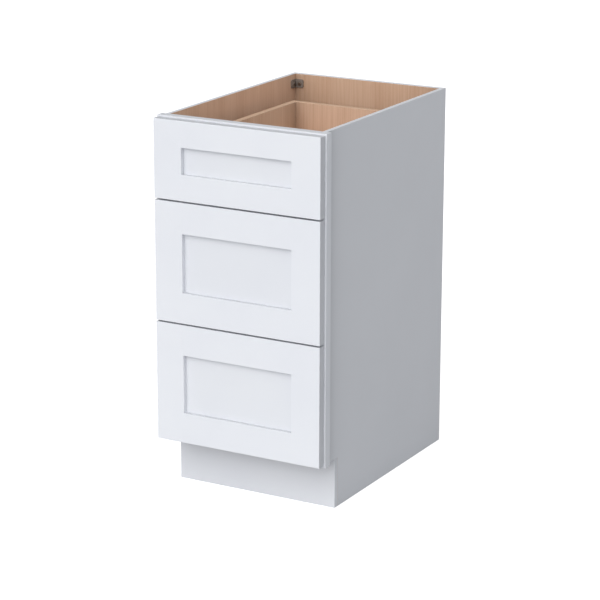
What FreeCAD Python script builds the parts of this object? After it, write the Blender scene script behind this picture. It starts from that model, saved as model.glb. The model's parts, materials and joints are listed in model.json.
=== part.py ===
import FreeCAD, Part
import os

os.makedirs("parts", exist_ok=True)

# Framed vanity base cabinet with three dovetailed drawers on ball bearing slides.
# +X is to the right seen from the front, the drawers open towards -Y, +Z is up.
# The origin is the centre of the plan outline, on the floor. Lengths are millimetres.

# Case of plywood panels
frame_width = 381.0
case_depth = 533.4
case_height = 774.7
side_panel_thickness = 9.525
back_panel_thickness = 12.7
floor_panel_thickness = 12.7
panel_joint_depth = 4.76
toe_height = 104.0
toe_setback = 57.15
toe_board_thickness = 12.7
floor_drop = 6.35

# Face frame on the front of the case
frame_thickness = 19.05
frame_overhang = 9.525
frame_stile_width = 38.1
frame_rail_width = 38.1
frame_groove_depth = 6.35
frame_edge_radius = 0.8
tenon_length = 9.5
tenon_thickness = 6.35
tenon_shoulder = 6.0
tenon_play = 0.1

# Drawer fronts of stiles, rails and a recessed panel
front_thickness = 18.0
front_standoff = 1.0
front_side_reveal = 3.2
front_top_reveal = 3.2
front_bottom_reveal = 4.5
front_gap = 3.2
top_front_height = 160.9
front_stile_width = 63.5
front_rail_width = 63.5
top_front_rail_width = 53.4
front_recess_depth = 9.5
front_panel_thickness = 6.35
front_groove_depth = 6.35
front_panel_play = 0.6
front_edge_radius = 1.0

# Drawer boxes
box_rear_setback = 4.2
box_wall = 12.7
box_bottom_thickness = 6.35
box_bottom_lift = 12.7
box_groove_depth = 6.35
box_bottom_play = 0.5
box_under_clearance = 12.7
box_over_clearance = 6.35
dovetail_pitch = 25.4
dovetail_wide_share = 0.66
dovetail_slope_share = 0.16
fewest_dovetails = 3

# Drawer slides: three nested members with two ball cages between them
slide_rear_clearance = 60.3
slide_height = 45.0
slide_thickness = 12.7
slide_setback = 3.2
slide_lift = 8.0
slide_metal = 1.2
slide_web_gap = 0.3
slide_lip = 1.5
cabinet_member_reach = 9.5
middle_member_reach = 11.4
drawer_member_reach = 7.3
ball_diameter = 4.0
ball_play = 0.1
ball_pitch = 22.0
balls_in_row = 8
cage_metal = 0.6
cage_end_margin = 8.0
outer_cage_reach = 7.5
inner_cage_reach = 9.9
outer_ball_offset = 4.9
inner_ball_offset = 7.6

# Rear slide brackets, corner brackets and screws
rear_bracket_metal = 1.5
rear_bracket_height = 38.0
rear_bracket_overlap = 32.0
rear_bracket_flange = 18.0
rear_screw_spacing = 24.0
corner_bracket_leg = 20.0
corner_bracket_height = 18.0
corner_bracket_thickness = 3.2
corner_bracket_drop = 11.5
corner_bracket_rounding = 4.0
corner_boss_radius = 4.6
corner_boss_height = 1.2
corner_screw_reach = 12.5
screw_head_radius = 3.6
screw_head_height = 1.8
screw_head_rounding = 0.7
screw_shank_radius = 1.75
screw_play = 0.1
recess_length = 4.0
recess_width = 1.0
recess_depth = 0.9
panel_screw_bite = 7.5
stile_screw_bite = 14.0
front_screw_bite = 11.0
front_screw_edge = 4.5
front_screw_inset = 34.0
slide_screw_end = 32.0
arm_screw_end = 16.0
cut_overrun = 2.0
same_place = 0.01

# Places that follow from the sizes above
half_frame = frame_width / 2
half_outer = half_frame - frame_overhang
half_inner = half_outer - side_panel_thickness
half_opening = half_frame - frame_stile_width
front_face_y = -(case_depth + front_standoff + front_thickness) / 2
front_back_y = front_face_y + front_thickness
frame_front_y = front_back_y + front_standoff
frame_back_y = frame_front_y + frame_thickness
case_back_y = frame_front_y + case_depth
back_inner_y = case_back_y - back_panel_thickness
toe_front_y = frame_front_y + toe_setback
toe_back_y = toe_front_y + toe_board_thickness
floor_top_z = toe_height + frame_rail_width - floor_drop
floor_under_z = floor_top_z - floor_panel_thickness
half_front = half_frame - front_side_reveal

# Heights of the drawer fronts, from the top one down
fronts_top_z = case_height - front_top_reveal
fronts_bottom_z = toe_height + front_bottom_reveal
lower_fronts_height = fronts_top_z - top_front_height - 2 * front_gap - fronts_bottom_z
lower_front_height = lower_fronts_height / 2
top_front_z = fronts_top_z - top_front_height
middle_front_z = top_front_z - front_gap - lower_front_height

# A frame rail lies behind each gap between two fronts
upper_rail_z = top_front_z - (front_gap + frame_rail_width) / 2
lower_rail_z = middle_front_z - (front_gap + frame_rail_width) / 2
top_rail_z = case_height - frame_rail_width

# Name, lowest and highest z of the front, its rail width, lowest and highest z of the opening
drawers = [
    ("top", top_front_z, fronts_top_z, top_front_rail_width,
     upper_rail_z + frame_rail_width, top_rail_z),
    ("middle", middle_front_z, middle_front_z + lower_front_height, front_rail_width,
     lower_rail_z + frame_rail_width, upper_rail_z),
    ("bottom", fronts_bottom_z, fronts_bottom_z + lower_front_height, front_rail_width,
     toe_height + frame_rail_width, lower_rail_z),
]

# Distances across a slide, counted from the frame's opening towards the drawer box
outer_cage_web = slide_metal + slide_web_gap
middle_web = outer_cage_web + cage_metal + slide_web_gap
inner_cage_web = middle_web + slide_metal + slide_web_gap
race_height = ball_diameter + 2 * ball_play
half_cabinet_member = slide_height / 2
half_middle_member = half_cabinet_member - slide_metal - race_height
half_drawer_member = half_middle_member - slide_metal - race_height
outer_ball_row = half_middle_member + race_height / 2
inner_ball_row = half_drawer_member + race_height / 2
slide_front_y = frame_front_y + slide_setback
slide_length = back_inner_y - slide_rear_clearance - slide_front_y
slide_back_y = slide_front_y + slide_length
cage_length = ball_pitch * (balls_in_row - 1) + 2 * cage_end_margin
cage_front_y = (slide_front_y + slide_back_y - cage_length) / 2
box_depth = slide_back_y - box_rear_setback - front_back_y
box_back_y = front_back_y + box_depth
half_box = half_opening - slide_thickness
front_screw_x = half_box - front_screw_inset
stile_screw_y = (frame_front_y + frame_back_y) / 2
arm_screw_y = slide_back_y - arm_screw_end
slide_screw_places = [slide_front_y + slide_screw_end, (slide_front_y + slide_back_y) / 2,
                      slide_back_y - slide_screw_end]


def block(x0, x1, y0, y1, z0, z1):
    """Box between two values on each axis, given in either order."""
    low = FreeCAD.Vector(min(x0, x1), min(y0, y1), min(z0, z1))
    return Part.makeBox(abs(x1 - x0), abs(y1 - y0), abs(z1 - z0), low)


def cut_all(shape, tools):
    """The shape with each of the tools cut away."""
    return shape.cut(tools) if tools else shape


def rod(start, direction, radius, length):
    """Round rod from a start point along a direction."""
    return Part.makeCylinder(radius, length, FreeCAD.Vector(*start), FreeCAD.Vector(*direction))


def front_edges(shape, face_y):
    """Edges of a slab that lie in its front face."""
    return [edge for edge in shape.Edges
            if all(abs(vertex.Point.y - face_y) < same_place for vertex in edge.Vertexes)]


def eased_slab(x1, y0, y1, z0, z1, radius):
    """Slab, as wide to the left as to the right, with its front edges rounded."""
    slab = block(-x1, x1, y0, y1, z0, z1)
    return slab.makeFillet(radius, front_edges(slab, y0))


def prism_along_y(points, y0, y1):
    """Prism whose section is a closed outline of (x, z) points."""
    corners = [FreeCAD.Vector(x, y0, z) for x, z in points]
    face = Part.Face(Part.makePolygon(corners + corners[:1]))
    return face.extrude(FreeCAD.Vector(0, y1 - y0, 0))


def save(name, solids):
    """Write one node: a single solid, or a group of separate solids."""
    shape = solids[0] if len(solids) == 1 else Part.makeCompound(solids)
    shape.exportStep("parts/" + name + ".step")
    print(name, len(shape.Solids), "solids", round(shape.Volume), "mm3")


def screw(head_seat, direction, bite):
    """Pan head screw with a cross recess: the head stands on the seat, the shank goes down."""
    seat = FreeCAD.Vector(*head_seat)
    down = FreeCAD.Vector(*direction)
    head = Part.makeCylinder(screw_head_radius, screw_head_height, seat - down * screw_head_height, down)
    rim = [edge for edge in head.Edges if edge.Closed
           and (edge.Vertexes[0].Point - seat).dot(down) < -screw_head_height / 2]
    head = head.makeFillet(screw_head_rounding, rim)
    level = FreeCAD.Vector(down.z, down.x, down.y)
    for slot_side in (level, down.cross(level)):
        slot = Part.makeBox(recess_length, recess_width, recess_depth)
        slot.translate(FreeCAD.Vector(-recess_length / 2, -recess_width / 2, 0))
        turn = FreeCAD.Rotation(slot_side, down.cross(slot_side), down, "XZY")
        slot.Placement = FreeCAD.Placement(seat - down * screw_head_height, turn).multiply(slot.Placement)
        head = head.cut(slot)
    return head.fuse(Part.makeCylinder(screw_shank_radius, bite, seat, down)).removeSplitter()


def screw_hole(head_seat, direction, bite):
    """Room for a screw's shank, from its seat to just past its tip."""
    return rod(head_seat, direction, screw_shank_radius + screw_play, bite + screw_play)


def side_panel(side, holes):
    """Plywood side with the toe notch, a dado for the floor and a rabbet for the back."""
    outer = side * half_outer
    inner = side * half_inner
    joint = side * (half_inner + panel_joint_depth)
    panel = block(inner, outer, frame_back_y - frame_groove_depth, case_back_y, 0, case_height)
    notch = block(inner - side * cut_overrun, outer + side * cut_overrun,
                  frame_front_y, toe_back_y, -cut_overrun, toe_height)
    dado = block(inner - side * cut_overrun, joint, frame_back_y, back_inner_y,
                 floor_under_z, floor_top_z)
    rabbet = block(inner - side * cut_overrun, joint, back_inner_y, case_back_y + cut_overrun,
                   -cut_overrun, case_height + cut_overrun)
    return cut_all(panel, [notch, dado, rabbet] + holes)


def toe_kick_board():
    """Board under the drawers: lapped over the side panels, its top between them under the floor."""
    face = block(-half_outer, half_outer, toe_front_y, toe_back_y, 0, toe_height)
    neck = block(-half_inner, half_inner, toe_front_y, toe_back_y, toe_height, floor_under_z)
    return face.fuse(neck).removeSplitter()


def frame_slab():
    """Outline of the whole face frame, from which its stiles and rails are parted."""
    return eased_slab(half_frame, frame_front_y, frame_back_y, toe_height, case_height,
                      frame_edge_radius)


def tenon(side, rail_z, play):
    """Tenon at one end of a rail, or the mortise for it when play is given."""
    middle_y = (frame_front_y + frame_back_y) / 2
    half = tenon_thickness / 2 + play
    return block(side * (half_opening - play), side * (half_opening + tenon_length + play),
                 middle_y - half, middle_y + half,
                 rail_z + tenon_shoulder - play, rail_z + frame_rail_width - tenon_shoulder + play)


def frame_stile(side, rail_places, holes):
    """Stile with a mortise for each rail and a groove for the side panel's front edge."""
    region = block(side * half_opening, side * half_frame, frame_front_y, frame_back_y,
                   toe_height, case_height)
    groove = block(side * half_inner, side * half_outer, frame_back_y - frame_groove_depth,
                   frame_back_y + cut_overrun, toe_height - cut_overrun, case_height + cut_overrun)
    mortises = [tenon(side, rail_z, tenon_play) for rail_z in rail_places]
    return cut_all(frame_slab().common(region), [groove] + mortises + holes)


def frame_rail(rail_z, holes):
    """Rail between the stiles, with a tenon at each end."""
    region = block(-half_opening, half_opening, frame_front_y, frame_back_y,
                   rail_z, rail_z + frame_rail_width)
    rail = frame_slab().common(region)
    return cut_all(rail.fuse([tenon(-1, rail_z, 0), tenon(1, rail_z, 0)]).removeSplitter(), holes)


def corner_bracket(side, wall_y, inward, screws, holes):
    """Plastic angle in a corner under the rim, with a round boss for the screw of each leg."""
    wall_x = side * half_inner
    top_z = case_height - corner_bracket_drop
    low_z = top_z - corner_bracket_height
    middle_z = (top_z + low_z) / 2
    leg_x = wall_x - side * corner_bracket_leg
    leg_y = wall_y + inward * corner_bracket_leg
    on_side = block(wall_x, wall_x - side * corner_bracket_thickness, wall_y, leg_y, low_z, top_z)
    on_wall = block(wall_x, leg_x, wall_y, wall_y + inward * corner_bracket_thickness, low_z, top_z)
    body = on_side.fuse(on_wall).removeSplitter()
    tip_edges = [edge for edge in body.Edges
                 if abs(edge.Length - corner_bracket_thickness) < same_place
                 and (all(abs(vertex.Point.x - leg_x) < same_place for vertex in edge.Vertexes)
                      or all(abs(vertex.Point.y - leg_y) < same_place for vertex in edge.Vertexes))]
    body = body.makeFillet(corner_bracket_rounding, tip_edges)
    boss_depth = corner_bracket_thickness + corner_boss_height
    side_foot = (wall_x, wall_y + inward * corner_screw_reach, middle_z)
    wall_foot = (wall_x - side * corner_screw_reach, wall_y, middle_z)
    for foot, away in ((side_foot, (-side, 0, 0)), (wall_foot, (0, inward, 0))):
        body = body.fuse(rod(foot, away, corner_boss_radius, boss_depth))
        into = tuple(-part for part in away)
        seat = tuple(part + boss_depth * step for part, step in zip(foot, away))
        bite = boss_depth + panel_screw_bite
        screws.append(screw(seat, into, bite))
        holes.append(screw_hole(seat, into, bite))
    return cut_all(body.removeSplitter(), holes[-2:])


def across(side, offset):
    """X of a distance across a slide, counted from the opening's edge towards the drawer."""
    return side * (half_opening - offset)


def channel(side, web, thickness, reach, half_height, lip, y0, y1, middle_z):
    """Rolled channel: a web, two flanges that reach from it, and lips that hold the balls."""
    toward = 1 if reach > 0 else -1
    tip = web + reach
    face = web + toward * thickness
    bend = tip - toward * thickness
    inside = half_height - thickness
    half = [(face, inside), (bend, inside), (bend, inside - lip), (tip, inside - lip), (tip, half_height)]
    if lip == 0:
        half = [(face, inside), (tip, inside), (tip, half_height)]
    upper = half + [(web, half_height)]
    outline = upper + [(offset, -height) for offset, height in reversed(upper)]
    points = [(across(side, offset), middle_z + height) for offset, height in outline]
    return prism_along_y(points, y0, y1)


def ball_cage(side, web, reach, ball_offset, ball_row, middle_z):
    """Sheet metal cage of one slide and its balls, in a row above and a row below."""
    half_height = ball_row + cage_metal / 2
    strip = channel(side, web, cage_metal, reach, half_height, 0,
                    cage_front_y, cage_front_y + cage_length, middle_z)
    balls = []
    pockets = []
    for number in range(balls_in_row):
        ball_y = cage_front_y + cage_end_margin + number * ball_pitch
        for row in (-ball_row, ball_row):
            place = FreeCAD.Vector(across(side, ball_offset), ball_y, middle_z + row)
            balls.append(Part.makeSphere(ball_diameter / 2, place))
            pockets.append(Part.makeCylinder(ball_diameter / 2 + ball_play, 2 * cage_metal,
                                             place - FreeCAD.Vector(0, 0, cage_metal)))
    return [cut_all(strip, pockets)] + balls


def cabinet_member(side, middle_z, screws, holes):
    """Slide member on the cabinet, with countersunk screws to the stile and to the rear bracket."""
    member = channel(side, 0, slide_metal, cabinet_member_reach, half_cabinet_member, slide_lip,
                     slide_front_y, slide_back_y, middle_z)
    seats = []
    for place_y, bite in ((stile_screw_y, stile_screw_bite), (arm_screw_y, 2 * rear_bracket_metal)):
        head_x = across(side, 0)
        head = rod((head_x, place_y, middle_z), (-side, 0, 0), screw_head_radius, slide_metal)
        shank = rod((head_x, place_y, middle_z), (side, 0, 0), screw_shank_radius, bite)
        screws.append(head.fuse(shank).removeSplitter())
        holes.append(screw_hole((head_x, place_y, middle_z), (side, 0, 0), bite))
        seats.append(rod((head_x, place_y, middle_z), (-side, 0, 0),
                         screw_head_radius + screw_play, slide_metal))
    return cut_all(member, seats)


def rear_bracket(side, middle_z, screws, holes):
    """Steel angle from the back panel to the rear end of a slide's cabinet member."""
    start_x = side * half_opening
    low_z = middle_z - rear_bracket_height / 2
    high_z = middle_z + rear_bracket_height / 2
    arm = block(start_x, start_x + side * rear_bracket_metal,
                slide_back_y - rear_bracket_overlap, back_inner_y, low_z, high_z)
    flange = block(start_x, start_x + side * rear_bracket_flange,
                   back_inner_y - rear_bracket_metal, back_inner_y, low_z, high_z)
    own_holes = []
    middle_x = start_x + side * (rear_bracket_metal + rear_bracket_flange) / 2
    for height in (-rear_screw_spacing / 2, rear_screw_spacing / 2):
        seat = (middle_x, back_inner_y - rear_bracket_metal, middle_z + height)
        bite = rear_bracket_metal + panel_screw_bite
        screws.append(screw(seat, (0, 1, 0), bite))
        own_holes.append(screw_hole(seat, (0, 1, 0), bite))
    holes.extend(own_holes)
    return cut_all(arm.fuse(flange).removeSplitter(), own_holes)


def drawer_front(name, z0, z1, rail_width, holes):
    """Five-piece front: the rails' tongues and the panel sit in a groove of the stiles and rails."""
    inner_x = half_front - front_stile_width
    groove_x = inner_x + front_groove_depth
    groove_y = front_face_y + front_recess_depth
    groove_back_y = groove_y + front_panel_thickness
    low_rail_z = z0 + rail_width
    high_rail_z = z1 - rail_width
    slab = eased_slab(half_front, front_face_y, front_back_y, z0, z1, front_edge_radius)
    for side, label in ((-1, "left"), (1, "right")):
        region = block(side * inner_x, side * half_front, front_face_y, front_back_y, z0, z1)
        groove = block(side * (inner_x - cut_overrun), side * groove_x, groove_y, groove_back_y,
                       z0 - cut_overrun, z1 + cut_overrun)
        save(name + "_front_" + label + "_stile", [cut_all(slab.common(region), [groove])])
    rails = (("bottom", z0, low_rail_z, low_rail_z - front_groove_depth, low_rail_z + cut_overrun),
             ("top", high_rail_z, z1, high_rail_z - cut_overrun, high_rail_z + front_groove_depth))
    for label, rail_z0, rail_z1, groove_z0, groove_z1 in rails:
        region = block(-inner_x, inner_x, front_face_y, front_back_y, rail_z0, rail_z1)
        tongues = block(-groove_x, groove_x, groove_y, groove_back_y, rail_z0, rail_z1)
        groove = block(-groove_x - cut_overrun, groove_x + cut_overrun, groove_y, groove_back_y,
                       groove_z0, groove_z1)
        rail = cut_all(slab.common(region).fuse(tongues).removeSplitter(), [groove] + holes)
        save(name + "_front_" + label + "_rail", [rail])
    edge = front_groove_depth - front_panel_play
    panel = block(-inner_x - edge, inner_x + edge, groove_y, groove_back_y,
                  low_rail_z - edge, high_rail_z + edge)
    save(name + "_front_panel", [panel])


def tails(side, end_y, inward, z0, z1):
    """Dovetails at one end of a box side: wide at the end, narrow at the shoulder."""
    count = max(fewest_dovetails, round((z1 - z0) / dovetail_pitch))
    pitch = (z1 - z0) / count
    wide = pitch * dovetail_wide_share / 2
    narrow = wide - box_wall * dovetail_slope_share
    shoulder_y = end_y + inward * box_wall
    found = []
    for number in range(count):
        middle_z = z0 + (number + 1 / 2) * pitch
        points = [(end_y, middle_z - wide), (shoulder_y, middle_z - narrow),
                  (shoulder_y, middle_z + narrow), (end_y, middle_z + wide)]
        corners = [FreeCAD.Vector(side * half_box, y, z) for y, z in points]
        face = Part.Face(Part.makePolygon(corners + corners[:1]))
        found.append(face.extrude(FreeCAD.Vector(-side * box_wall, 0, 0)))
    return found


def drawer_box(name, z0, z1, holes):
    """Dovetailed box of four boards, with its bottom in a groove of all four."""
    inner_x = half_box - box_wall
    front_inner_y = front_back_y + box_wall
    back_inner_wall_y = box_back_y - box_wall
    groove_z = z0 + box_bottom_lift
    groove = block(-inner_x - box_groove_depth, inner_x + box_groove_depth,
                   front_inner_y - box_groove_depth, back_inner_wall_y + box_groove_depth,
                   groove_z, groove_z + box_bottom_thickness)
    ends = (("front", front_back_y, front_inner_y, 1), ("back", box_back_y, back_inner_wall_y, -1))
    all_tails = []
    for side, label in ((-1, "left"), (1, "right")):
        board = block(side * inner_x, side * half_box, front_back_y, box_back_y, z0, z1)
        for _, end_y, wall_y, inward in ends:
            own = tails(side, end_y, inward, z0, z1)
            corner = block(side * inner_x, side * half_box, end_y, wall_y, z0, z1)
            board = board.cut(corner).fuse(own).removeSplitter()
            all_tails.extend(own)
        save(name + "_box_" + label + "_side", [cut_all(board, [groove] + holes)])
    for label, end_y, wall_y, _ in ends:
        board = block(-half_box, half_box, end_y, wall_y, z0, z1)
        save(name + "_box_" + label, [cut_all(board, all_tails + [groove] + holes)])
    edge = box_groove_depth - box_bottom_play
    save(name + "_box_bottom", [block(-inner_x - edge, inner_x + edge, front_inner_y - edge,
                                      back_inner_wall_y + edge, groove_z,
                                      groove_z + box_bottom_thickness)])


def drawer_screws(box_z0, box_z1, slide_z, holes):
    """Screws through the box into the front, and from the slides' drawer members into the box."""
    screws = []
    for side in (-1, 1):
        for height in (box_z0 + front_screw_edge, box_z1 - front_screw_edge):
            seat = (side * front_screw_x, front_back_y + box_wall, height)
            bite = box_wall + front_screw_bite
            screws.append(screw(seat, (0, -1, 0), bite))
            holes.append(screw_hole(seat, (0, -1, 0), bite))
        for place_y in slide_screw_places:
            seat = (across(side, slide_thickness - slide_metal), place_y, slide_z)
            bite = slide_metal + panel_screw_bite
            screws.append(screw(seat, (-side, 0, 0), bite))
            holes.append(screw_hole(seat, (-side, 0, 0), bite))
    return screws


# Drawers and their slides
cabinet_members = []
rear_brackets = []
cabinet_fixings = []
case_holes = []
for name, front_z0, front_z1, rail_width, opening_z0, opening_z1 in drawers:
    box_z0 = opening_z0 + box_under_clearance
    box_z1 = opening_z1 - box_over_clearance
    slide_z = box_z0 + slide_lift + slide_height / 2
    drawer_holes = []
    save(name + "_drawer_screws", drawer_screws(box_z0, box_z1, slide_z, drawer_holes))
    drawer_front(name, front_z0, front_z1, rail_width, drawer_holes)
    drawer_box(name, box_z0, box_z1, drawer_holes)
    drawer_members = []
    middle_members = []
    outer_cages = []
    inner_cages = []
    for side in (-1, 1):
        cabinet_members.append(cabinet_member(side, slide_z, cabinet_fixings, case_holes))
        rear_brackets.append(cut_all(rear_bracket(side, slide_z, cabinet_fixings, case_holes),
                                     case_holes))
        middle_members.append(channel(side, middle_web, slide_metal,
                                      middle_member_reach - middle_web, half_middle_member,
                                      slide_lip, slide_front_y, slide_back_y, slide_z))
        drawer_members.append(cut_all(channel(side, slide_thickness, slide_metal,
                                              -drawer_member_reach, half_drawer_member, 0,
                                              slide_front_y, slide_back_y, slide_z), drawer_holes))
        outer_cages += ball_cage(side, outer_cage_web, outer_cage_reach - outer_cage_web,
                                 outer_ball_offset, outer_ball_row, slide_z)
        inner_cages += ball_cage(side, inner_cage_web, inner_cage_reach - inner_cage_web,
                                 inner_ball_offset, inner_ball_row, slide_z)
    save(name + "_slide_drawer_members", drawer_members)
    save(name + "_slide_intermediate_members", middle_members)
    save(name + "_slide_outer_cages", outer_cages)
    save(name + "_slide_inner_cages", inner_cages)

# Corner brackets under the rim
corner_brackets = []
for side in (-1, 1):
    for wall_y, inward in ((frame_back_y, 1), (back_inner_y, -1)):
        corner_brackets.append(corner_bracket(side, wall_y, inward, cabinet_fixings, case_holes))

# Case
save("left_side_panel", [side_panel(-1, case_holes)])
save("right_side_panel", [side_panel(1, case_holes)])
half_back = half_inner + panel_joint_depth
save("back_panel", [cut_all(block(-half_back, half_back, back_inner_y, case_back_y, 0, case_height),
                            case_holes)])
save("floor_panel", [block(-half_back, half_back, frame_back_y, back_inner_y,
                           floor_under_z, floor_top_z)])
save("toe_kick_board", [toe_kick_board()])

# Face frame
frame_rails = (("frame_top_rail", top_rail_z), ("frame_upper_rail", upper_rail_z),
               ("frame_lower_rail", lower_rail_z), ("frame_bottom_rail", toe_height))
rail_places = [rail_z for _, rail_z in frame_rails]
save("frame_left_stile", [frame_stile(-1, rail_places, case_holes)])
save("frame_right_stile", [frame_stile(1, rail_places, case_holes)])
for name, rail_z in frame_rails:
    save(name, [frame_rail(rail_z, case_holes)])

# Fixings and slides on the case
save("corner_brackets", corner_brackets)
save("rear_slide_brackets", rear_brackets)
save("cabinet_slide_members", cabinet_members)
save("cabinet_screws", cabinet_fixings)
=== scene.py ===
# %% [markdown]
# # A painted vanity base cabinet with three drawers
# This lesson dresses a finished CAD model of a narrow base cabinet: white satin paint outside,
# maple inside, three drawers on ball bearing slides. The CAD model is the fixed frame. Its nodes
# stay where they are and get finishes, and new pieces are only made where the real cabinet shows
# detail that plain solids lack.

# %% Load the frame
import json
import bmesh
import bpy
import numpy as np
from mathutils import Matrix, Vector

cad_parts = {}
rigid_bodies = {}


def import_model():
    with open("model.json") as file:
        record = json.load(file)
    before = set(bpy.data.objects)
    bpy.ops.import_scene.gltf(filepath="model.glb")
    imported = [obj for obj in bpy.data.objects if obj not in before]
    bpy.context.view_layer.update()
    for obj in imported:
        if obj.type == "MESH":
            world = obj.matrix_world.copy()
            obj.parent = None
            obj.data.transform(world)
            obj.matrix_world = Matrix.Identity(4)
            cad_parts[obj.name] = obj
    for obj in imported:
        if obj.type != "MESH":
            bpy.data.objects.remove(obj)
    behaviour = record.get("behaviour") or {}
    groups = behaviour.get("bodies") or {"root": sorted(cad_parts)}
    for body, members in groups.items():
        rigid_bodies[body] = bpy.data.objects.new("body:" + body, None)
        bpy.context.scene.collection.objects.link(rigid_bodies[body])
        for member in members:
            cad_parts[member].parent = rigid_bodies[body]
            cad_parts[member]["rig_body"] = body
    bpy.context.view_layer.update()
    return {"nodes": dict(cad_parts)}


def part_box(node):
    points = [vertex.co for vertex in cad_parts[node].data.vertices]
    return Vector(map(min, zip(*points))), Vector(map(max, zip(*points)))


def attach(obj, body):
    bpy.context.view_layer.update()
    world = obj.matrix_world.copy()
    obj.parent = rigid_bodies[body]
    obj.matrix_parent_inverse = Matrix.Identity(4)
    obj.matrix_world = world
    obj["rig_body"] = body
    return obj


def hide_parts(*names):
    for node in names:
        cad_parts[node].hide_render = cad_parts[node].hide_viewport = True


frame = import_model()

nodes = frame["nodes"]
drawer_names = ("top", "middle", "bottom")


def in_scene(name, content):
    """New object of a mesh, a camera or a lamp, linked to the scene."""
    made = bpy.data.objects.new(name, content)
    bpy.context.scene.collection.objects.link(made)
    return made


# %% [markdown]
# ## Camera
# The camera repeats the photograph's view: a long lens, a little above the rim, turned to show
# the front and the right side. A long lens keeps the upright edges nearly parallel. The place and
# the angles are real sizes in metres and degrees, so they hold for any picture size.

# %% Place the camera
camera_place = Vector((2.2687, -4.0645, 1.6891))
camera_azimuth = np.radians(29.291)
camera_elevation = np.radians(15.957)
camera_roll = np.radians(0.117)
focal_share = 2340.7 / 600

look = Vector((-np.sin(camera_azimuth) * np.cos(camera_elevation),
               np.cos(camera_azimuth) * np.cos(camera_elevation), -np.sin(camera_elevation)))
level = Vector((np.cos(camera_azimuth), np.sin(camera_azimuth), 0))
upright = level.cross(look)
right = level * np.cos(camera_roll) + upright * np.sin(camera_roll)
above = upright * np.cos(camera_roll) - level * np.sin(camera_roll)
camera_data = bpy.data.cameras.new("photo_camera")
camera_data.lens = camera_data.sensor_width * focal_share
camera = in_scene("photo_camera", camera_data)
camera.matrix_world = Matrix((right, above, -look)).transposed().to_4x4()
camera.location = camera_place
bpy.context.scene.camera = camera
print("lens", round(camera_data.lens, 2), "mm")

# %% [markdown]
# ## Helpers for finishes
# A finish is a few shader nodes. Colours are picked as sRGB hex values, and Blender computes in
# linear light, so one function turns a hex value into linear numbers. Another adds any node with
# its settings, values and links in one line, which keeps each finish short enough to read.

# %% Colour and node helpers
def linear(hex_colour):
    """Linear RGBA of an sRGB hex value: c / 12.92 where dark, else ((c + 0.055) / 1.055) ** 2.4."""
    srgb = np.array([int(hex_colour[i:i + 2], 16) for i in (1, 3, 5)]) / 255
    curve = ((srgb + 0.055) / 1.055) ** 2.4
    return (*np.where(srgb <= 0.04045, srgb / 12.92, curve).tolist(), 1.0)


def add(tree, kind, values=None, **settings):
    """Adds a node. A value is put on the input of that name or number, or linked if it is a socket."""
    made = tree.nodes.new(kind)
    for name, setting in settings.items():
        setattr(made, name, setting)
    for name, value in (values or {}).items():
        if isinstance(value, bpy.types.NodeSocket):
            tree.links.new(value, made.inputs[name])
        else:
            made.inputs[name].default_value = value
    return made


def per(millimetres):
    """Scale of a pattern on coordinates in metres, for one repeat in so many millimetres."""
    return 1000 / millimetres


def finish(name):
    """New material with a Principled shader: the material, its node tree and the shader."""
    material = bpy.data.materials.new(name)
    material.use_nodes = True
    tree = material.node_tree
    tree.nodes.clear()
    shader = add(tree, "ShaderNodeBsdfPrincipled")
    add(tree, "ShaderNodeOutputMaterial", {"Surface": shader.outputs["BSDF"]})
    return material, tree, shader


def stretched(tree, across_mm, along_mm, axis, shift=(0, 0, 0)):
    """Object coordinates scaled so that one unit is across_mm wide and along_mm long on an axis."""
    scale = [per(along_mm) if letter == axis else per(across_mm) for letter in "xyz"]
    place = add(tree, "ShaderNodeTexCoord").outputs["Object"]
    return add(tree, "ShaderNodeMapping", {"Vector": place, "Scale": scale, "Location": shift},
               vector_type="POINT").outputs["Vector"]


def ramp(tree, factor, stops):
    """Colour ramp through (place, hex colour) stops."""
    made = add(tree, "ShaderNodeValToRGB", {"Fac": factor})
    elements = made.color_ramp.elements
    while len(elements) < len(stops):
        elements.new(1.0)
    for element, (place, colour) in zip(elements, stops):
        element.position = place
        element.color = linear(colour)
    return made.outputs["Color"]


print("helpers ready, mid grey is", [round(v, 3) for v in linear("#808080")[:3]])

# %% [markdown]
# ## Stage
# The photograph is a plain studio picture on white. A large pale floor and an even, rather dim sky
# give the same ground. Surfaces that face up are darker there than those that face the front, so
# most of the light comes from low panels: a big soft one in front and a weaker one to the right. A
# weak panel overhead reaches down into the open case and lights the boards inside. Area lamps could
# stand for the panels, but they fade with distance. Sun lamps with wide discs don't, so the fronts
# are as bright at the toe as at the rim. The floor glows for the camera only, as paper lit from
# behind does, and lights nothing.

# %% Paper floor
floor_reach = 40.0
floor_lift = 0.85
floor_grid = np.array([[-1, -1, 0], [1, -1, 0], [1, 1, 0], [-1, 1, 0]]) * floor_reach
floor_mesh = bpy.data.meshes.new("studio_floor")
floor_mesh.from_pydata(floor_grid.tolist(), [], [(0, 1, 2, 3)])
studio_floor = in_scene("studio_floor", floor_mesh)

floor_paint, tree, shader = finish("matt_studio_floor")
shader.inputs["Base Color"].default_value = linear("#C2C3C5")
shader.inputs["Roughness"].default_value = 0.9
shader.inputs["Specular IOR Level"].default_value = 0.1
seen = add(tree, "ShaderNodeLightPath").outputs["Is Camera Ray"]
glow = add(tree, "ShaderNodeMath", {0: seen, 1: floor_lift}, operation="MULTIPLY")
tree.links.new(glow.outputs["Value"], shader.inputs["Emission Strength"])
shader.inputs["Emission Color"].default_value = (1, 1, 1, 1)
floor_mesh.materials.append(floor_paint)
print("floor reaches", floor_reach, "m each way")

# %% [markdown]
# The sky and the lamps follow. The camera sees the sky as pure white, and the pieces are lit by a
# dimmer one, so the light panels make most of the shading.

# %% Sky and lamps
sky_strength = 0.34
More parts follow.
